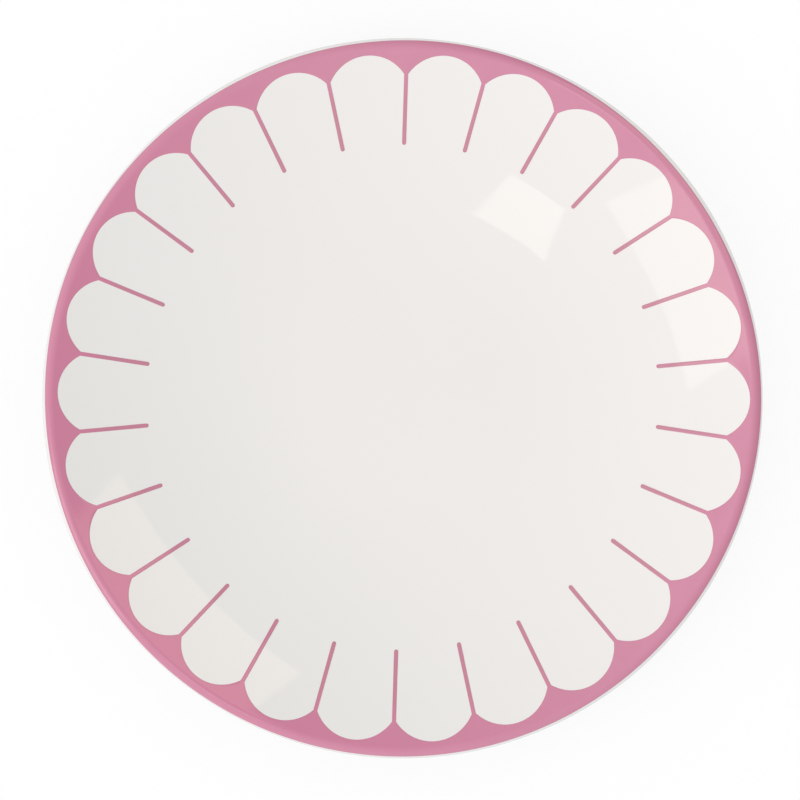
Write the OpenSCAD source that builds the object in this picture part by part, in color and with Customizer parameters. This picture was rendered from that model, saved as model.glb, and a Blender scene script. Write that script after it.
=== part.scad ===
// Dessert plate: a round coupe plate of glazed porcelain with a printed border of petals.
// The plate turns about Z and stands on its foot ring, whose resting face lies at z = 0.
// A line of the print runs towards +Y.

/* [Plate] */
// Diameter over the lip
plate_d = 210; // [190:1:230]
// Diameter of the flat middle of the eating surface
flat_d = 60; // [50:1:72]
// Radius of the curve that rises from the flat middle to the lip
dish_r = 172; // [160:1:210]
// Thickness at the middle, glaze included
floor_t = 4.8; // [4.2:0.1:5.6]
// Thickness of the wall at the lip, which is a full roll, glaze included
rim_t = 5; // [4.4:0.1:5.6]
// Thickness of the fired glaze
glaze_t = 0.3; // [0.2:0.05:0.4]

/* [Foot ring] */
// Outer diameter of the foot ring at the table
foot_d = 120; // [108:1:130]
// Width of the foot ring at the table, before its edges are rounded
foot_w = 4.4; // [3.8:0.1:5.4]
// Height of the middle of the underside above the table
foot_clear = 2.6; // [2.2:0.1:3.6]
// Slope of the foot ring's sides away from upright, in degrees
foot_draft = 12; // [6:1:18]
// Radius of the two edges of the resting face
toe_r = 1; // [0.7:0.1:1.2]
// Radius of the coves that run from the foot ring into the underside
cove_r = 1.8; // [1.2:0.1:2.2]
// Height of the bare strip round the foot ring, wiped clear of glaze
bare_foot_h = 1.25; // [1.1:0.05:1.5]

/* [Printed border] */
// Number of petals, and of the lines between them
petal_count = 26; // [22:1:30]
// Width of the bare strip between the print and the outer edge of the lip, seen from above
bare_lip_w = 0.8; // [0.4:0.1:1.2]
// Width of the coloured band outside the petals' tips
band_w = 3.6; // [3:0.1:5]
// How far the lines reach in from the circle of the petals' tips
line_reach = 26; // [20:0.5:32]
// Width of the lines
line_w = 1.1; // [0.8:0.1:1.6]
// Lean of the lines away from the plate's radii, in degrees
line_lean = 1.1; // [0:0.1:3]
// Thickness of the print on the glaze
print_t = 0.15; // [0.1:0.05:0.2]

/* [Hidden] */
// Sides of a full circle
$fn = 200;

plate_r = plate_d / 2;
flat_r = flat_d / 2;
top_z = foot_clear + floor_t;

// A petal's radius over half the distance between neighbours' centres: at 1 they just touch
petal_overlap_share = 1.16;
// Arcs that run into each other cross by lap, and their sizes are multiples of step
lap = 0.002;
step = 0.001;

// Centre of the dish curve, which leaves the flat middle level
dish_c = [flat_r, top_z + dish_r];
// Centre of the lip's roll, which touches the dish curve and the plate's diameter
roll_r = rim_t / 2;
roll_x = plate_r - roll_r;
roll_c = [roll_x, dish_c.y - rise(dish_r + roll_r - lap, roll_x - flat_r)];
rim_a = heading(roll_c - dish_c);
// The back curve leaves the underside level and holds the roll from below
hold_r = roll_r - lap;
hold = roll_c - [flat_r, foot_clear];
back_r = stepped((hold * hold - hold_r * hold_r) / (2 * (hold.y - hold_r)));
back_c = [flat_r, foot_clear + back_r];
back_a = heading(roll_c - back_c);
// The wall's middle surface, half the floor's thickness inside the back curve
mid_r = back_r - floor_t / 2;

foot_mid_r = (foot_d - foot_w) / 2;
toe_steps = 5;
toe_turn = 90 - foot_draft;
toe_back = toe_r * tan(toe_turn / 2);

print_r = plate_r - bare_lip_w;
tip_r = print_r - band_w;
petal_pitch = 360 / petal_count;
petal_spread = petal_overlap_share * sin(petal_pitch / 2);
petal_centre_r = tip_r / (1 + petal_spread);
petal_r = petal_centre_r * petal_spread;
line_end_r = tip_r - line_reach;

function ray(a) = [cos(a), sin(a)];
function heading(v) = atan2(v.y, v.x);
function rise(radius, run) = sqrt(radius * radius - run * run);
function stepped(size) = round(size / step) * step;

// The foot ring's outer side is side 1 and its inner side is side -1
function side_up(side) = [side * sin(foot_draft), cos(foot_draft)];
function side_out(side) = [side * cos(foot_draft), -sin(foot_draft)];
function foot_corner(side, inset) =
    [foot_mid_r + side * (foot_w / 2 - inset / cos(foot_draft)), 0];
// Where a cove's centre lies: cove_r off the foot ring's side and cove_r below the back curve
function cove_c(side) =
    let (start = foot_corner(side, 0) + cove_r * side_out(side) - back_c)
    let (along = start * side_up(side))
    let (past = start * start - pow(back_r + cove_r, 2))
    back_c + start - (along + sqrt(along * along - past)) * side_up(side);
// The rounded edge of the resting face, from the face up to the side
function toe(side, inset) =
    let (centre = foot_corner(side, inset) + [-side * toe_back, toe_r])
    [for (i = [0 : toe_steps]) centre + toe_r * ray(-90 + side * toe_turn * i / toe_steps)];
// One side of the foot ring, from the table to the middle surface of the wall
function foot_side(side, inset) =
    let (cove = cove_c(side))
    let (up = ray(heading(back_c - cove)))
    concat(toe(side, inset), [
        cove - (cove_r + inset) * side_out(side),
        cove,
        cove + (cove_r + inset) * up,
        cove + (cove_r + floor_t / 2) * up
    ]);
function reversed(points) = [for (i = [len(points) - 1 : -1 : 0]) points[i]];

// The plate without its foot ring, before the dish is cut out of it
module coupe_blank(inset) {
    translate([0, foot_clear + inset]) square([flat_r, floor_t - 2 * inset]);
    intersection() {
        translate(back_c) circle(r = back_r - inset);
        polygon([
            [0, -plate_r],
            roll_c + plate_r * ray(back_a),
            roll_c,
            roll_c - rim_t * ray(rim_a),
            [0, top_z + floor_t]
        ]);
    }
    translate(roll_c) circle(r = roll_r - inset);
}

// The foot ring, which runs into the underside in a cove on each side
module foot_ring(inset) {
    difference() {
        polygon(concat(foot_side(1, inset), reversed(foot_side(-1, inset))));
        for (side = [-1, 1]) {
            translate(cove_c(side)) circle(r = cove_r + inset + lap);
        }
    }
}

// The whole plate's section; inset moves every face in, but the resting face stays
module plate_section(inset) {
    foot_ring(inset);
    difference() {
        coupe_blank(inset);
        translate([0, top_z - inset]) square([flat_r, dish_r]);
        translate(dish_c) circle(r = dish_r + inset);
    }
}

// All of the glaze: everything between the plate's surface and the body, clear of the table
module glaze_section() {
    difference() {
        plate_section(0);
        plate_section(glaze_t);
        square([plate_r, bare_foot_h]);
    }
}

// The space under the middle of the wall, inside the foot ring
module foot_well_zone() {
    difference() {
        square([foot_mid_r, top_z + floor_t]);
        translate([0, foot_clear + floor_t / 2]) square([flat_r, back_r]);
        translate(back_c) circle(r = mid_r);
    }
}

// The print's film over the dish curve and the top of the lip
module print_section() {
    intersection() {
        difference() {
            plate_section(-print_t);
            plate_section(0);
        }
        translate(back_c) circle(r = mid_r);
        translate([flat_r, 0]) square([plate_r, back_r]);
    }
}

// The fired clay: one pressed piece with its foot ring
module porcelain_body() {
    color([0.9, 0.88, 0.84])
        rotate_extrude() plate_section(glaze_t);
}

// The glaze over the eating surface, round the lip and down the back to the foot ring
module glaze_coat() {
    color([0.95, 0.945, 0.93])
        rotate_extrude() difference() {
            glaze_section();
            foot_well_zone();
        }
}

// The glaze on the underside within the foot ring
module foot_well_glaze() {
    color([0.94, 0.935, 0.92])
        rotate_extrude() intersection() {
            glaze_section();
            foot_well_zone();
        }
}

// One line between two petals, from the band to its round inner end, aimed along +X
module petal_line() {
    end_x = line_end_r + line_w / 2;
    translate([petal_centre_r, 0]) rotate(-line_lean) translate([-petal_centre_r, 0]) {
        translate([end_x, -line_w / 2]) square([tip_r - end_x, line_w]);
        translate([end_x, 0]) circle(d = line_w, $fn = 24);
    }
}

// The print seen from above: a band whose inner edge is a ring of petals, and the lines
module border_pattern() {
    difference() {
        circle(r = print_r);
        circle(r = petal_centre_r);
        for (i = [1 : petal_count]) {
            rotate(90 + (i - 0.5) * petal_pitch) translate([petal_centre_r, 0]) circle(r = petal_r);
        }
    }
    for (i = [1 : petal_count]) {
        rotate(90 + i * petal_pitch) petal_line();
    }
}

// The coloured enamel of the print, fired on to the glaze and following its curve
module scallop_border() {
    color([0.84, 0.57, 0.68])
        intersection() {
            rotate_extrude() print_section();
            translate([0, 0, top_z]) linear_extrude(height = dish_r) border_pattern();
        }
}

porcelain_body();
glaze_coat();
foot_well_glaze();
scallop_border();
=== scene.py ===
# Looks of a glazed porcelain dessert plate with a printed border of petals.
# Sizes are in millimetres and angles in radians, unless a comment or a function says otherwise.
import math
import bpy
import numpy as np
from mathutils import Euler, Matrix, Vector


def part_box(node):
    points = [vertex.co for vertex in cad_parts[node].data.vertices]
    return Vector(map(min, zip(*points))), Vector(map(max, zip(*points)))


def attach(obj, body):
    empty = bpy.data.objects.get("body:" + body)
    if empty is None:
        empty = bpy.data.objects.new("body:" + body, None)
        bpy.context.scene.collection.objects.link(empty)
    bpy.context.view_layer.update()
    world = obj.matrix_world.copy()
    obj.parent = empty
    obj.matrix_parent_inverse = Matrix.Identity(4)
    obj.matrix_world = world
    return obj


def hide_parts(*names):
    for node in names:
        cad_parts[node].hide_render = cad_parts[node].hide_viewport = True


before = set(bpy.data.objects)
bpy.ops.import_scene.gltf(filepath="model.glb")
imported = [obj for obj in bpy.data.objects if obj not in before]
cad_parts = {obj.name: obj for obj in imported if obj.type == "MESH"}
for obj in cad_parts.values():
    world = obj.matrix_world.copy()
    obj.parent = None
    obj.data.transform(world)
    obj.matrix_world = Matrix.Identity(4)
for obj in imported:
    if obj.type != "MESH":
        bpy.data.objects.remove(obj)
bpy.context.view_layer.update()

MM = 0.001
TURN = 2 * math.pi
QUARTER = math.pi / 2
AXIS = np.zeros(2)
# Points of an outline that are closer than this are one point
SAME_POINT = 0.00005

# Sizes of the plate, as its solids have them
PLATE_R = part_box("glaze_coat")[1].x / MM
FLAT_R = 30.0
DISH_R = 172.0
FLOOR_T = 4.8
RIM_T = 5.0
GLAZE_T = 0.3
FOOT_D = 120.0
FOOT_W = 4.4
FOOT_CLEAR = 2.6
FOOT_DRAFT = math.radians(12)
TOE_R = 1.0
COVE_R = 1.8
BARE_FOOT_H = 1.25

# Sizes of the printed border, whose band and lines are a little wider than in the solids
PETALS = 26
BARE_LIP_W = 0.8
BAND_W = 3.74
LINE_REACH = 26.0
LINE_W = 1.2
PETAL_OVERLAP_SHARE = 1.16
# How far the whole print, petals and lines alike, leans clockwise on its way out
PRINT_LEAN = math.radians(1.1)

# How the hand-laid print strays: (waves in a turn, size, azimuth of a crest in degrees)
PULLED_CLOCKWISE = ((1, 0.95, 215), (2, 0.7, 245), (3, 0.25, 265), (4, 0.1, 0), (5, 0.1, 25))
LINE_ENDS_OUT = ((1, 0.4, 115), (2, 0.5, 195), (3, 0.2, 245))
TIPS_OUT = ((2, 0.2, 0), (3, 0.2, 245), (4, 0.2, 345), (5, 0.2, 5))
EDGE_OUT = ((1, 0.1, 235), (3, 0.1, 5), (4, 0.15, 345), (5, 0.15, 5))

# How deep the glaze is keyed into the body below it
KEY = 0.05
# The glaze's rounded end on the foot ring: its height, how far it sways up and down, and the
# sway's waves: (waves in a turn, share of the sway, start)
BEAD_H = 0.35
BEAD_SWAY = 0.12
BEAD_WAVES = ((3, 1.0, 1.0), (7, 0.5, 0.0), (16, 0.25, 0.0))
# The print's height over the glaze, its depth in it, and how far from its edge its rows lie
FILM_T = 0.06
FILM_KEY = 0.03
FILM_EDGES = (0.0, 0.04, 0.16)

# Facets of the turned skins
PETAL_STEPS = 12
SEGMENTS = PETALS * PETAL_STEPS
FLAT_RINGS = 10
DISH_RINGS = 46
ROLL_RINGS = 33
BACK_RINGS = 28
WELL_RINGS = 14
COVE_RINGS = 9
TOE_RINGS = 8
BEAD_RINGS = 6
# Facets of the print
ARC_COLUMNS = 28
LINE_COLUMNS = 8
CAP_ROWS = 3
STEM_ROWS = 16
FAN_ROWS = 5
ROLL_ROWS = 11

# The view: the plate as it lies in the square photo, which is 800 pixels wide
FRAME_PX = 800.0
PLATE_CENTRE_PX = (402.5, 398.25)
PLATE_R_PX = 360.2
VIEW_HEIGHT = 1250.0
VIEW_ROLL = math.radians(0.67)
SENSOR_W = 36.0


def ray(angle):
    return np.array([math.cos(angle), math.sin(angle)])


def heading(vector):
    return math.atan2(vector[1], vector[0])


def arc(centre, radius, start, end, count):
    return [centre + radius * ray(angle) for angle in np.linspace(start, end, count)]


def joined(*stretches):
    """One outline from several stretches, each point once."""
    points = []
    for point in (p for stretch in stretches for p in stretch):
        if not points or np.linalg.norm(point - points[-1]) > SAME_POINT:
            points.append(point)
    return points


# The half-section, as in the solids: a flat middle, the dish curve, a rolled lip and the back curve
TOP_Z = FOOT_CLEAR + FLOOR_T
DISH_C = np.array([FLAT_R, TOP_Z + DISH_R])
ROLL_R = RIM_T / 2
ROLL_X = PLATE_R - ROLL_R
ROLL_C = np.array([ROLL_X, DISH_C[1] - math.sqrt((DISH_R + ROLL_R) ** 2 - (ROLL_X - FLAT_R) ** 2)])
RIM_A = heading(ROLL_C - DISH_C)
TOUCH_R = FLAT_R + DISH_R * math.cos(RIM_A)
HOLD = ROLL_C - np.array([FLAT_R, FOOT_CLEAR])
BACK_R = (HOLD @ HOLD - ROLL_R ** 2) / (2 * (HOLD[1] - ROLL_R))
BACK_C = np.array([FLAT_R, FOOT_CLEAR + BACK_R])
BACK_A = heading(ROLL_C - BACK_C)
FOOT_MID_R = (FOOT_D - FOOT_W) / 2


def side_up(side):
    return np.array([side * math.sin(FOOT_DRAFT), math.cos(FOOT_DRAFT)])


def side_out(side):
    return np.array([side * math.cos(FOOT_DRAFT), -math.sin(FOOT_DRAFT)])


def foot_side(side, inset, height):
    """A point on the foot ring's outer side, which is side 1, or on its inner side, side -1."""
    half_w = FOOT_W / 2 - inset / math.cos(FOOT_DRAFT) + height * math.tan(FOOT_DRAFT)
    return np.array([FOOT_MID_R + side * half_w, height])


def cove_centre(side):
    start = foot_side(side, 0, 0) + COVE_R * side_out(side) - BACK_C
    along = start @ side_up(side)
    past = start @ start - (BACK_R + COVE_R) ** 2
    return BACK_C + start - (along + math.sqrt(along ** 2 - past)) * side_up(side)


def eating_face(inset):
    """The flat middle and the dish curve, from the axis to the lip."""
    flat = [np.array([r, TOP_Z - inset]) for r in np.linspace(0, FLAT_R, FLAT_RINGS)]
    return joined(flat, arc(DISH_C, DISH_R + inset, -QUARTER, RIM_A, DISH_RINGS))


def lip_roll(inset):
    return arc(ROLL_C, ROLL_R - inset, RIM_A + math.pi, BACK_A, ROLL_RINGS)


def back_face(inset):
    """The back of the wall, from the lip to the foot ring's outer side."""
    cove = cove_centre(1)
    into_cove = heading(cove - BACK_C)
    return joined(
        arc(BACK_C, BACK_R - inset, BACK_A, into_cove, BACK_RINGS),
        arc(cove, COVE_R + inset, into_cove + math.pi, heading(-side_out(1)), COVE_RINGS),
    )


def well_face(inset):
    """The underside within the foot ring, from the axis to the ring's inner side."""
    cove = cove_centre(-1)
    into_cove = heading(cove - BACK_C)
    flat = [np.array([r, FOOT_CLEAR + inset]) for r in np.linspace(0, FLAT_R, FLAT_RINGS)]
    return joined(
        flat,
        arc(BACK_C, BACK_R - inset, -QUARTER, into_cove, WELL_RINGS),
        arc(cove, COVE_R + inset, into_cove + math.pi, heading(-side_out(-1)), COVE_RINGS),
    )


def toe(side, inset):
    """The rounded edge of the resting face, from the ring's side down to the face."""
    turn = QUARTER - FOOT_DRAFT
    back = TOE_R * math.tan(turn / 2)
    centre = foot_side(side, inset, 0) + np.array([-side * back, TOE_R])
    return arc(centre, TOE_R, -QUARTER + side * turn, -QUARTER, TOE_RINGS)


def glaze_bead(side):
    """The glaze's rounded end on a side of the foot ring, from the glaze's surface to the body."""
    points = []
    for angle in np.linspace(0, QUARTER, BEAD_RINGS):
        inset = GLAZE_T * (1 - math.cos(angle))
        height = BARE_FOOT_H + BEAD_H * (1 - math.sin(angle))
        points.append(foot_side(side, inset, height))
    return points


def turned(name, outline, sway=0.0):
    """A closed solid turned from an outline that starts and ends on the axis.

    What lies at the height of the glaze's end sways up and down round the plate.
    """
    angles = np.arange(SEGMENTS) * TURN / SEGMENTS
    lift = sway * sum(share * np.sin(count * angles + start) for count, share, start in BEAD_WAVES)
    bead_top = BARE_FOOT_H + BEAD_H
    vertices = [(0, 0, outline[0][1])]
    for radius, height in outline[1:-1]:
        lifted = np.clip((bead_top + BEAD_H - height) / BEAD_H, 0, 1)
        heights = height + lift * lifted
        vertices += zip(radius * np.cos(angles), radius * np.sin(angles), heights)
    vertices.append((0, 0, outline[-1][1]))
    last = len(vertices) - 1
    faces = []
    for j in range(SEGMENTS):
        k = (j + 1) % SEGMENTS
        faces.append((0, 1 + j, 1 + k))
        for i in range(len(outline) - 3):
            row = 1 + i * SEGMENTS
            faces.append((row + j, row + SEGMENTS + j, row + SEGMENTS + k, row + k))
        row = last - SEGMENTS
        faces.append((row + j, last, row + k))
    return new_piece(name, vertices, faces)


def new_piece(name, vertices, faces, flat_from=None):
    """A piece from vertices in millimetres, shaded smooth but for the faces from flat_from on."""
    mesh = bpy.data.meshes.new(name)
    mesh.from_pydata((np.array(vertices) * MM).tolist(), [], faces)
    smooth = np.ones(len(mesh.polygons), bool)
    if flat_from is not None:
        smooth[flat_from:] = False
    mesh.polygons.foreach_set("use_smooth", smooth)
    mesh.validate()
    piece = bpy.data.objects.new(name, mesh)
    bpy.context.scene.collection.objects.link(piece)
    return piece


def make_glaze_coat():
    """The glaze over the eating face, round the lip and down the back to the foot ring."""
    inner = GLAZE_T + KEY
    end = foot_side(1, inner, BARE_FOOT_H)
    outside = joined(eating_face(0), lip_roll(0), back_face(0), glaze_bead(1))
    inside = joined(eating_face(inner), lip_roll(inner), back_face(inner), [end])
    return turned("glaze_coat_skin", outside + inside[::-1], BEAD_SWAY)


def make_foot_well_glaze():
    """The glaze on the underside within the foot ring."""
    inner = GLAZE_T + KEY
    end = foot_side(-1, inner, BARE_FOOT_H)
    outside = joined(well_face(0), glaze_bead(-1))
    inside = joined(well_face(inner), [end])
    return turned("foot_well_skin", inside + outside[::-1], BEAD_SWAY)


def make_body():
    """The fired clay, which shows only on the foot ring."""
    outer = joined(eating_face(GLAZE_T), lip_roll(GLAZE_T), back_face(GLAZE_T), toe(1, GLAZE_T))
    inner = joined(well_face(GLAZE_T), toe(-1, GLAZE_T))
    return turned("bare_foot_body", outer + inner[::-1])


# The print in plan, before it leans and strays
PITCH = TURN / PETALS
PRINT_R = PLATE_R - BARE_LIP_W
TIP_R = PRINT_R - BAND_W
PETAL_SPREAD = PETAL_OVERLAP_SHARE * math.sin(PITCH / 2)
PETAL_CENTRE_R = TIP_R / (1 + PETAL_SPREAD)
PETAL_R = PETAL_CENTRE_R * PETAL_SPREAD
# Where the centre of a line's round inner end lies, from the circle of the petals' centres
CAP_AT = TIP_R - LINE_REACH + LINE_W / 2 - PETAL_CENTRE_R
# Beyond this radius the print's rows are circles, which then follow the lip's roll
FAN_R = (TIP_R + TOUCH_R) / 2


class Line:
    """The line at one azimuth.

    u runs across it, and t along it, outwards from the circle of the petals' centres.
    """

    def __init__(self, azimuth):
        self.azimuth = azimuth
        self.foot = PETAL_CENTRE_R * ray(azimuth)
        self.out = ray(azimuth)
        self.across = ray(azimuth + QUARTER)

    def point(self, t, u):
        return self.foot + t * self.out + u * self.across

    def petal_centre(self, side):
        return PETAL_CENTRE_R * ray(self.azimuth + side * PITCH / 2)

    def meets(self, u, centre, radius):
        """The outer t at which the line through u crosses a circle."""
        start = self.point(0, u) - centre
        along = start @ self.out
        return -along + math.sqrt(along ** 2 - start @ start + radius ** 2)

    def edge_t(self, side, offset):
        """The t at which a side of the line meets the petal there, made larger by an offset."""
        return self.meets(side * LINE_W / 2, self.petal_centre(side), PETAL_R + offset)


def ring_radii():
    """The print's outer rows, evenly turned round the lip's roll and closer at the print's edge."""
    end = math.asin((PRINT_R - FILM_EDGES[-1] - ROLL_X) / ROLL_R)
    start = math.asin((TOUCH_R - ROLL_X) / ROLL_R)
    rolled = [ROLL_X + ROLL_R * math.sin(a) for a in np.linspace(start, end, ROLL_ROWS)]
    return rolled + [PRINT_R - edge for edge in FILM_EDGES[-2::-1]]


def line_rows(line, us):
    """Rows of plan points across a line, from its round inner end to the print's outer edge."""
    half_w = LINE_W / 2
    stem_t = CAP_AT + half_w
    rows = []

    def add_row(ts):
        rows.append([line.point(t, u) for t, u in zip(ts, us)])

    round_ts = [CAP_AT - math.sqrt(half_w ** 2 - u ** 2) for u in us]
    for share in np.linspace(0, 1, CAP_ROWS + 1) ** 2:
        add_row([(1 - share) * t + share * stem_t for t in round_ts])
    side_share = (us + half_w) / LINE_W
    for offset in FILM_EDGES:
        low_t, high_t = (line.edge_t(side, offset) for side in (-1, 1))
        ts = low_t + (high_t - low_t) * side_share
        if offset == 0:
            for share in np.linspace(0, 1, STEM_ROWS + 1)[1:-1]:
                add_row([stem_t + share * (t - CAP_AT - half_w) for t in ts])
        add_row(ts)
    fan_ts = np.array([line.meets(u, AXIS, FAN_R) for u in us])
    for share in np.linspace(0, 1, FAN_ROWS + 1)[1:]:
        add_row(ts + share * (fan_ts - ts))
    azimuths = [heading(point) for point in rows[-1]]
    for radius in ring_radii():
        rows.append([radius * ray(azimuth) for azimuth in azimuths])
    return rows


def petal_rows(line, next_line):
    """Rows of plan points along the band outside one petal, between two lines."""
    centre = line.petal_centre(1)
    middle = heading(centre)
    half_w = LINE_W / 2
    rows = []
    for offset in FILM_EDGES:
        first = line.point(line.edge_t(1, offset), half_w) - centre
        last = next_line.point(next_line.edge_t(-1, offset), -half_w) - centre
        start = (heading(first) - middle + math.pi) % TURN - math.pi
        end = (heading(last) - middle + math.pi) % TURN - math.pi
        rows.append(arc(centre, PETAL_R + offset, middle + start, middle + end, ARC_COLUMNS + 1))
    inner = rows[-1]
    low = heading(line.point(line.meets(half_w, AXIS, FAN_R), half_w))
    high = heading(next_line.point(next_line.meets(-half_w, AXIS, FAN_R), -half_w))
    azimuths = low + ((high - low) % TURN) * np.linspace(0, 1, ARC_COLUMNS + 1)
    for share in np.linspace(0, 1, FAN_ROWS + 1)[1:]:
        rows.append([a + share * (FAN_R * ray(azimuth) - a) for a, azimuth in zip(inner, azimuths)])
    for radius in ring_radii():
        rows.append([radius * ray(azimuth) for azimuth in azimuths])
    return rows


def waves(table, azimuth):
    return sum(size * np.cos(count * (azimuth - math.radians(crest))) for count, size, crest in table)


def strayed(points):
    """Radius and azimuth of the plan points where the leaning, hand-laid print has them."""
    radius = np.hypot(points[:, 0], points[:, 1])
    azimuth = np.arctan2(points[:, 1], points[:, 0])
    ends, tips, edge = (waves(table, azimuth) for table in (LINE_ENDS_OUT, TIPS_OUT, EDGE_OUT))
    inner_share = np.clip((TIP_R - radius) / LINE_REACH, 0, 1)
    outer_share = np.clip((radius - TIP_R) / BAND_W, 0, 1)
    radius = radius + tips + inner_share * (ends - tips) + outer_share * (edge - tips)
    leaned = (radius - PETAL_CENTRE_R) * math.tan(PRINT_LEAN)
    azimuth = azimuth - (leaned + waves(PULLED_CLOCKWISE, azimuth)) / radius
    return radius, azimuth


def film_height(points, line):
    """Height of the film over the glaze: full inside, rounded off at its edges."""
    local = points - line.foot
    t, u = local @ line.out, local @ line.across
    in_line = LINE_W / 2 - np.hypot(u, np.minimum(t - CAP_AT, 0))
    petals = [np.linalg.norm(points - line.petal_centre(side), axis=1) - PETAL_R for side in (-1, 1)]
    in_band = np.minimum(*petals)
    inside = np.minimum(np.maximum(in_line, in_band), PRINT_R - np.hypot(points[:, 0], points[:, 1]))
    share = np.clip(inside / FILM_EDGES[-1], 0, 1)
    return FILM_T * np.sqrt(1 - (1 - share) ** 2)


def on_plate(radius, azimuth, height):
    """Points on the eating face or the lip's roll at plan radii, a height off the glaze."""
    slope = np.arcsin(np.minimum(radius - FLAT_R, TOUCH_R - FLAT_R) / DISH_R)
    turn = np.arcsin(np.clip((radius - ROLL_X) / ROLL_R, -1, 1))
    off_dish = DISH_R - height
    off_roll = ROLL_R + height
    on_dish = radius <= TOUCH_R
    across = np.where(on_dish, DISH_C[0] + off_dish * np.sin(slope), ROLL_X + off_roll * np.sin(turn))
    up = np.where(on_dish, DISH_C[1] - off_dish * np.cos(slope), ROLL_C[1] + off_roll * np.cos(turn))
    return np.stack([across * np.cos(azimuth), across * np.sin(azimuth), up], axis=1)


def make_print():
    """The petals' band and the lines as one closed film that follows the dish and the lip."""
    angles = np.linspace(-QUARTER, QUARTER, LINE_COLUMNS + 1)
    us = LINE_W / 2 * np.sin(angles)
    lines = [Line(QUARTER + k * PITCH) for k in range(PETALS)]
    plan, heights, faces = [], [], []

    def add_rows(rows, line):
        points = np.array(rows)
        start = sum(len(p) for p in plan)
        plan.append(points.reshape(-1, 2))
        heights.append(film_height(plan[-1], line))
        return start + np.arange(points.shape[0] * points.shape[1]).reshape(points.shape[:2])

    def add_faces(grid):
        for low, high in zip(grid, grid[1:]):
            for j in range(len(low) - 1):
                faces.append((low[j], high[j], high[j + 1], low[j + 1]))

    strips = [add_rows(line_rows(line, us), line) for line in lines]
    # The row of a line at which the band's inner edge lies
    band_start = CAP_ROWS + STEM_ROWS
    for k, line in enumerate(lines):
        after = (k + 1) % PETALS
        grid = add_rows([row[1:-1] for row in petal_rows(line, lines[after])], line)
        first = strips[k][band_start:, -1:]
        last = strips[after][band_start:, :1]
        add_faces(strips[k])
        add_faces(np.hstack([first, grid, last]))

    plan, heights = np.concatenate(plan), np.concatenate(heights)
    radius, azimuth = strayed(plan)
    top = on_plate(radius, azimuth, heights)
    below = on_plate(radius, azimuth, np.full(len(plan), -FILM_KEY))
    count = len(top)
    edges = {(face[i], face[(i + 1) % 4]) for face in faces for i in range(4)}
    rim = sorted((a, b) for a, b in edges if (b, a) not in edges)
    under = [tuple(v + count for v in face[::-1]) for face in faces]
    walls = [(b, a, a + count, b + count) for a, b in rim]
    every = [tuple(int(v) for v in face) for face in faces + under + walls]
    return new_piece("printed_border", np.vstack([top, below]), every, len(faces) + len(under))


# The materials' colours, as linear red, green and blue. Where there are two, patches mix them
GLAZE_COLOURS = ((0.845, 0.830, 0.804), (0.855, 0.840, 0.816))
POOLED_GLAZE_COLOUR = (0.69, 0.71, 0.69)
PINHOLE_COLOUR = (0.50, 0.47, 0.43)
BAND_COLOURS = ((0.616, 0.237, 0.348), (0.636, 0.249, 0.364))
GRAIN_COLOUR = (0.52, 0.18, 0.29)
BISQUE_COLOURS = ((0.72, 0.69, 0.63), (0.80, 0.77, 0.72))
SPECK_COLOUR = (0.42, 0.36, 0.30)
RUBBED_COLOUR = (0.46, 0.45, 0.44)

# Painted shade: the pink is deeper on the dish towards one side, where the dish faces away from the light,
# and on the lip away from it, where the roll faces away from the light.
# How deep this painted shade is depends on how far a place lies from the axis towards that side
PAINTED_SHADE_SIDE = math.radians(207)
PAINTED_SHADE_FROM = -30.0
PAINTED_SHADE_TO = 70.0
PAINTED_DISH_SHADE_COLOUR = (0.640, 0.206, 0.328)
PAINTED_LIP_SHADE_COLOUR = (0.582, 0.192, 0.299)
# The lines' colour, from where they are lit to where the same painted shade deepens them
LINE_COLOURS_WITH_PAINTED_SHADE = ((0.572, 0.235, 0.318), (0.572, 0.207, 0.298))
# The enamel reflects a little more than the glaze does
ENAMEL_IOR = 1.62

# Uneven patches: their width, the noise's detail, the part of the noise's range that counts, and
# the values that this part is stretched to
GLAZE_CLOUDS = (90.0, 2.0, 0.3, 0.7, 0.0, 1.0)
GLAZE_ROUGHNESS = (14.0, 3.0, 0.3, 0.7, 0.02, 0.04)
BAND_PATCHES = (7.0, 3.0, 0.3, 0.7, 0.0, 1.0)
ENAMEL_GRAIN = (0.35, 1.0, 0.35, 0.65, 0.0, 0.10)
ENAMEL_ROUGHNESS = (5.0, 3.0, 0.3, 0.7, 0.07, 0.11)
BISQUE_CLOUDS = (12.0, 4.0, 0.3, 0.7, 0.0, 1.0)
BISQUE_SPECKS = (0.5, 2.0, 0.66, 0.72, 0.0, 0.5)
BISQUE_RUBBING = (2.5, 4.0, 0.4, 0.65, 0.1, 0.6)
BISQUE_ROUGHNESS = (3.0, 3.0, 0.3, 0.7, 0.72, 0.88)
# Bumps, one over the other: (width, detail of the noise, depth)
GLAZE_BUMPS = ((22.0, 2.0, 0.03), (1.6, 2.0, 0.0006))
ENAMEL_BUMPS = ((22.0, 2.0, 0.03), (0.5, 2.0, 0.0008))
BISQUE_BUMPS = ((0.4, 4.0, 0.03),)

# Pinholes: the width of glaze to each one, where a hole's slope starts and ends as shares of that
# width from its middle, and how far its colour covers the glaze
PINHOLE_CELL = 24.0
PINHOLE_SLOPE_FROM = 0.008
PINHOLE_SLOPE_TO = 0.014
PINHOLE_COVER = 0.22
# The foot ring is rubbed fully up to the first of these heights, and not at all from the second on
RUBBED_BELOW = 0.05
UNRUBBED_ABOVE = 0.3

# The sockets of a Mix node that take and give colours
MIX_FIRST = 6
MIX_SECOND = 7
MIX_RESULT = 2


def new_material(name):
    """An empty material: itself, its node tree, its shader and the place on the plate in metres."""
    material = bpy.data.materials.new(name)
    material.use_nodes = True
    tree = material.node_tree
    place = tree.nodes.new("ShaderNodeTexCoord").outputs["Object"]
    return material, tree, tree.nodes["Principled BSDF"], place


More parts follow.
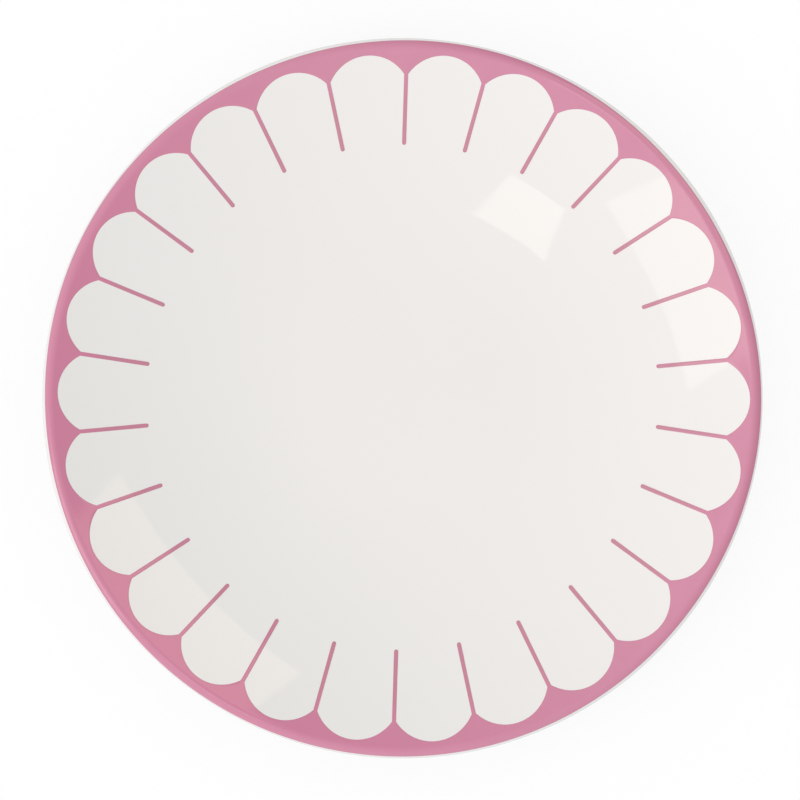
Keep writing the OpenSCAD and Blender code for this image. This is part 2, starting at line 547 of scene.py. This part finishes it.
def noise(tree, place, width, detail):
    """Soft noise from 0 to 1 in patches of about this width."""
    node = tree.nodes.new("ShaderNodeTexNoise")
    node.inputs["Scale"].default_value = 1 / (width * MM)
    node.inputs["Detail"].default_value = detail
    tree.links.new(place, node.inputs["Vector"])
    return node.outputs["Fac"]


def mapped(tree, value, low, high, new_low=0.0, new_high=1.0):
    """The value from low to high, stretched to run from new_low to new_high and held there."""
    node = tree.nodes.new("ShaderNodeMapRange")
    for name, number in (("From Min", low), ("From Max", high), ("To Min", new_low), ("To Max", new_high)):
        node.inputs[name].default_value = number
    tree.links.new(value, node.inputs["Value"])
    return node.outputs["Result"]


def patchy(tree, place, width, detail, *stretch):
    """A value that changes in patches of about this width, stretched as mapped() does."""
    return mapped(tree, noise(tree, place, width, detail), *stretch)


def mixed(tree, share, colour, other):
    """One colour turning into the other as share goes from 0 to 1. Either may be another node's."""
    node = tree.nodes.new("ShaderNodeMix")
    node.data_type = "RGBA"
    tree.links.new(share, node.inputs["Factor"])
    for index, given in ((MIX_FIRST, colour), (MIX_SECOND, other)):
        if isinstance(given, tuple):
            node.inputs[index].default_value = (*given, 1)
        else:
            tree.links.new(given, node.inputs[index])
    return node.outputs[MIX_RESULT]


def maths(tree, operation, value, other):
    """One step of arithmetic on two values, each a number or another node's."""
    node = tree.nodes.new("ShaderNodeMath")
    node.operation = operation
    for socket, given in zip(node.inputs, (value, other)):
        if isinstance(given, (int, float)):
            socket.default_value = given
        else:
            tree.links.new(given, socket)
    return node.outputs["Value"]


def radius_and_height(tree, place):
    """Distance from the plate's axis and height above the table, in metres."""
    parts = tree.nodes.new("ShaderNodeSeparateXYZ")
    tree.links.new(place, parts.inputs["Vector"])
    squares = [maths(tree, "MULTIPLY", parts.outputs[axis], parts.outputs[axis]) for axis in "XY"]
    total = maths(tree, "ADD", *squares)
    return maths(tree, "POWER", total, 0.5), parts.outputs["Z"]


def reach(tree, vector, azimuth):
    """How far a vector reaches towards an azimuth."""
    node = tree.nodes.new("ShaderNodeVectorMath")
    node.operation = "DOT_PRODUCT"
    node.inputs[1].default_value = (*ray(azimuth), 0)
    tree.links.new(vector, node.inputs[0])
    return node.outputs["Value"]


def bumped(tree, shader, place, bumps):
    """The shader's surface gets bumps of (width, detail, depth), one over the other."""
    normal = None
    for width, detail, depth in bumps:
        height = noise(tree, place, width, detail)
        node = tree.nodes.new("ShaderNodeBump")
        node.inputs["Distance"].default_value = depth * MM
        tree.links.new(height, node.inputs["Height"])
        if normal is not None:
            tree.links.new(normal, node.inputs["Normal"])
        normal = node.outputs["Normal"]
    tree.links.new(normal, shader.inputs["Normal"])


def make_glaze_material():
    """Ivory-white glaze: clear gloss, faint waviness, a few pinholes, thicker in the foot's coves."""
    material, tree, shader, place = new_material("ivory_glaze")
    colour = mixed(tree, patchy(tree, place, *GLAZE_CLOUDS), *GLAZE_COLOURS)
    radius, height = radius_and_height(tree, place)
    by_coves = []
    for side in (-1, 1):
        away = maths(tree, "ABSOLUTE", maths(tree, "SUBTRACT", radius, cove_centre(side)[0] * MM), 0)
        by_coves.append(mapped(tree, away, 0, COVE_R * MM, 1, 0))
    by_cove = maths(tree, "MAXIMUM", *by_coves)
    below = mapped(tree, height, TOP_Z * MM, FOOT_CLEAR * 2 * MM)
    colour = mixed(tree, maths(tree, "MULTIPLY", by_cove, below), colour, POOLED_GLAZE_COLOUR)
    cells = tree.nodes.new("ShaderNodeTexVoronoi")
    cells.inputs["Scale"].default_value = 1 / (PINHOLE_CELL * MM)
    tree.links.new(place, cells.inputs["Vector"])
    from_middle = cells.outputs["Distance"]
    pinholes = mapped(tree, from_middle, PINHOLE_SLOPE_FROM, PINHOLE_SLOPE_TO, PINHOLE_COVER, 0)
    colour = mixed(tree, pinholes, colour, PINHOLE_COLOUR)
    tree.links.new(colour, shader.inputs["Base Color"])
    tree.links.new(patchy(tree, place, *GLAZE_ROUGHNESS), shader.inputs["Roughness"])
    bumped(tree, shader, place, GLAZE_BUMPS)
    return material


def make_enamel_material():
    """Pink printed enamel, a little uneven and deeper in the lines, with painted shade on the dish and
    lip.
    """
    material, tree, shader, place = new_material("pink_enamel")
    band = mixed(tree, patchy(tree, place, *BAND_PATCHES), *BAND_COLOURS)
    radius, _ = radius_and_height(tree, place)
    # Painted shade: deeper pink on the dish towards one side and on the lip away from it, where each faces
    # away from the light
    towards = reach(tree, place, PAINTED_SHADE_SIDE)
    painted_shade_near = mapped(tree, towards, PAINTED_SHADE_FROM * MM, PAINTED_SHADE_TO * MM)
    on_dish = mapped(tree, radius, TOUCH_R * MM, PRINT_R * MM, 1, 0)
    band = mixed(tree, maths(tree, "MULTIPLY", painted_shade_near, on_dish), band, PAINTED_DISH_SHADE_COLOUR)
    far = mapped(tree, towards, 0, -PAINTED_SHADE_TO * MM)
    on_lip = mapped(tree, radius, TOUCH_R * MM, PRINT_R * MM)
    band = mixed(tree, maths(tree, "MULTIPLY", far, on_lip), band, PAINTED_LIP_SHADE_COLOUR)
    in_lines = mapped(tree, radius, (PETAL_CENTRE_R + PETAL_R / 2) * MM, PETAL_CENTRE_R * MM)
    # The lines get the same painted shade as the dish, deeper towards that side
    colour = mixed(tree, in_lines, band, mixed(tree, painted_shade_near, *LINE_COLOURS_WITH_PAINTED_SHADE))
    colour = mixed(tree, patchy(tree, place, *ENAMEL_GRAIN), colour, GRAIN_COLOUR)
    tree.links.new(colour, shader.inputs["Base Color"])
    tree.links.new(patchy(tree, place, *ENAMEL_ROUGHNESS), shader.inputs["Roughness"])
    shader.inputs["IOR"].default_value = ENAMEL_IOR
    bumped(tree, shader, place, ENAMEL_BUMPS)
    return material


def make_bisque_material():
    """Bare fired porcelain: matt, fine grained and speckled, rubbed grey where it rests."""
    material, tree, shader, place = new_material("bare_porcelain")
    colour = mixed(tree, patchy(tree, place, *BISQUE_CLOUDS), *BISQUE_COLOURS)
    colour = mixed(tree, patchy(tree, place, *BISQUE_SPECKS), colour, SPECK_COLOUR)
    _, height = radius_and_height(tree, place)
    low = mapped(tree, height, RUBBED_BELOW * MM, UNRUBBED_ABOVE * MM, 1, 0)
    rubbed = maths(tree, "MULTIPLY", low, patchy(tree, place, *BISQUE_RUBBING))
    colour = mixed(tree, rubbed, colour, RUBBED_COLOUR)
    tree.links.new(colour, shader.inputs["Base Color"])
    tree.links.new(patchy(tree, place, *BISQUE_ROUGHNESS), shader.inputs["Roughness"])
    bumped(tree, shader, place, BISQUE_BUMPS)
    return material


# The studio's lamps: flat panels that face along the line from this far off to the plate, and may
# be shifted off that line. (name, zenith and azimuth in degrees, shift counter-clockwise and
# towards the zenith, turn in degrees, width, height, light, colour)
LAMP_DISTANCE = 1000.0
LAMPS = (
    ("window_lamp", 45.0, -158.0, (30.0, 72.0), 3.7, 366.0, 540.0, 1.12, (1.0, 0.98, 0.78)),
    ("spot_panel", 21.0, -123.0, (1.5, 73.0), 1.5, 98.0, 158.0, 1.7, (1.0, 1.0, 0.84)),
    ("warm_fill_panel", 45.0, 43.0, (-3.0, 60.5), -0.5, 492.0, 540.0, 1.33, (1.0, 0.63, 0.48)),
)
# The room's light, from its dim side to its bright one
SKY_DIM = (0.44, 0.55, 0.56)
SKY_BRIGHT = (1.30, 1.23, 1.27)
SKY_BRIGHT_SIDE = math.radians(209)
# How much of the plain white that the camera sees is in the room's reflections
SKY_GLOSSY_WHITE = 0.2

# The floor lies this far below the foot ring. It is lit in one colour and seen in another, and
# this share of what is seen is plain white
FLOOR_SIZE = 4000.0
FLOOR_DROP = 0.05
FLOOR_COLOUR = (0.72, 0.72, 0.72)
FLOOR_SEEN_COLOUR = (1.0, 1.0, 1.0)
FLOOR_ROUGHNESS = 0.9
FLOOR_WHITE_SHARE = 0.85


def make_lamp(name, zenith, azimuth, shift, turn, width, height, light, colour):
    """A flat panel lamp whose face shines at the given brightness, where 1 is a lit white."""
    lamp = bpy.data.lights.new(name, "AREA")
    lamp.shape = "RECTANGLE"
    lamp.size = width * MM
    lamp.size_y = height * MM
    lamp.color = colour
    lamp.energy = light * math.pi * lamp.size * lamp.size_y
    panel = bpy.data.objects.new(name, lamp)
    facing = Euler((math.radians(zenith), 0, math.radians(azimuth + 90))).to_matrix()
    panel.location = facing @ Vector((*shift, LAMP_DISTANCE)) * MM
    panel.rotation_euler = (facing @ Euler((0, 0, math.radians(turn))).to_matrix()).to_euler()
    panel.visible_camera = False
    bpy.context.scene.collection.objects.link(panel)


def seen_directly(tree, glossy_share=1.0):
    """1 on rays from the camera and through glass, and glossy_share on those from a gloss."""
    path = tree.nodes.new("ShaderNodeLightPath")
    straight = maths(tree, "MAXIMUM", path.outputs["Is Camera Ray"], path.outputs["Is Transmission Ray"])
    glossy = maths(tree, "MULTIPLY", path.outputs["Is Glossy Ray"], glossy_share)
    return maths(tree, "MAXIMUM", straight, glossy)


def make_sky():
    """A plain bright room, lighter on the window's side, that looks white."""
    world = bpy.data.worlds.new("studio")
    world.use_nodes = True
    bpy.context.scene.world = world
    tree = world.node_tree
    lit = tree.nodes["Background"]
    direction = tree.nodes.new("ShaderNodeTexCoord").outputs["Generated"]
    side = mapped(tree, reach(tree, direction, SKY_BRIGHT_SIDE), -1, 1)
    tree.links.new(mixed(tree, side, SKY_DIM, SKY_BRIGHT), lit.inputs["Color"])
    white = tree.nodes.new("ShaderNodeBackground")
    white.inputs["Color"].default_value = (1, 1, 1, 1)
    blend = tree.nodes.new("ShaderNodeMixShader")
    tree.links.new(seen_directly(tree, SKY_GLOSSY_WHITE), blend.inputs["Fac"])
    tree.links.new(lit.outputs[0], blend.inputs[1])
    tree.links.new(white.outputs[0], blend.inputs[2])
    tree.links.new(blend.outputs[0], tree.nodes["World Output"].inputs["Surface"])


def make_floor():
    """A plain white table top, just below the foot ring, that keeps the plate's shadow."""
    half = FLOOR_SIZE * MM / 2
    depth = -FLOOR_DROP * MM
    mesh = bpy.data.meshes.new("floor")
    corners = [(-half, -half, depth), (half, -half, depth), (half, half, depth), (-half, half, depth)]
    mesh.from_pydata(corners, [], [(0, 1, 2, 3)])
    floor = bpy.data.objects.new("floor", mesh)
    bpy.context.scene.collection.objects.link(floor)
    material, tree, shader, _ = new_material("white_floor")
    seen = seen_directly(tree)
    tree.links.new(mixed(tree, seen, FLOOR_COLOUR, FLOOR_SEEN_COLOUR), shader.inputs["Base Color"])
    shader.inputs["Roughness"].default_value = FLOOR_ROUGHNESS
    shader.inputs["Specular IOR Level"].default_value = 0
    white = tree.nodes.new("ShaderNodeEmission")
    blend = tree.nodes.new("ShaderNodeMixShader")
    share = maths(tree, "MULTIPLY", seen, FLOOR_WHITE_SHARE)
    tree.links.new(share, blend.inputs["Fac"])
    tree.links.new(shader.outputs[0], blend.inputs[1])
    tree.links.new(white.outputs[0], blend.inputs[2])
    tree.links.new(blend.outputs[0], tree.nodes["Material Output"].inputs["Surface"])
    mesh.materials.append(material)


def make_camera():
    """The photo's view, from straight above the plate."""
    to_rim = VIEW_HEIGHT - ROLL_C[1]
    focal_px = PLATE_R_PX * to_rim / PLATE_R
    data = bpy.data.cameras.new("camera")
    data.sensor_width = SENSOR_W
    data.lens = SENSOR_W * focal_px / FRAME_PX
    camera = bpy.data.objects.new("camera", data)
    turn = Euler((0, 0, VIEW_ROLL))
    right_px = PLATE_CENTRE_PX[0] - FRAME_PX / 2
    up_px = FRAME_PX / 2 - PLATE_CENTRE_PX[1]
    offset = Vector((-right_px, -up_px, 0)) * (to_rim / focal_px)
    offset.rotate(turn)
    camera.location = (offset + Vector((0, 0, VIEW_HEIGHT))) * MM
    camera.rotation_euler = turn
    bpy.context.scene.collection.objects.link(camera)
    bpy.context.scene.camera = camera


def dress(piece, material, slot, *nodes):
    """The piece gets its material, rides on the plate and stands for its solids."""
    piece.data.materials.append(material)
    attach(piece, "root")
    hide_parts(*nodes)


make_camera()
glaze = make_glaze_material()
dress(make_glaze_coat(), glaze, "white_glaze", "glaze_coat")
dress(make_foot_well_glaze(), glaze, "white_glaze", "foot_well_glaze")
dress(make_body(), make_bisque_material(), "porcelain", "porcelain_body")
dress(make_print(), make_enamel_material(), "pink_enamel", "scallop_border")
for lamp in LAMPS:
    make_lamp(*lamp)
make_sky()
make_floor()
bpy.context.scene.view_settings.view_transform = "Standard"
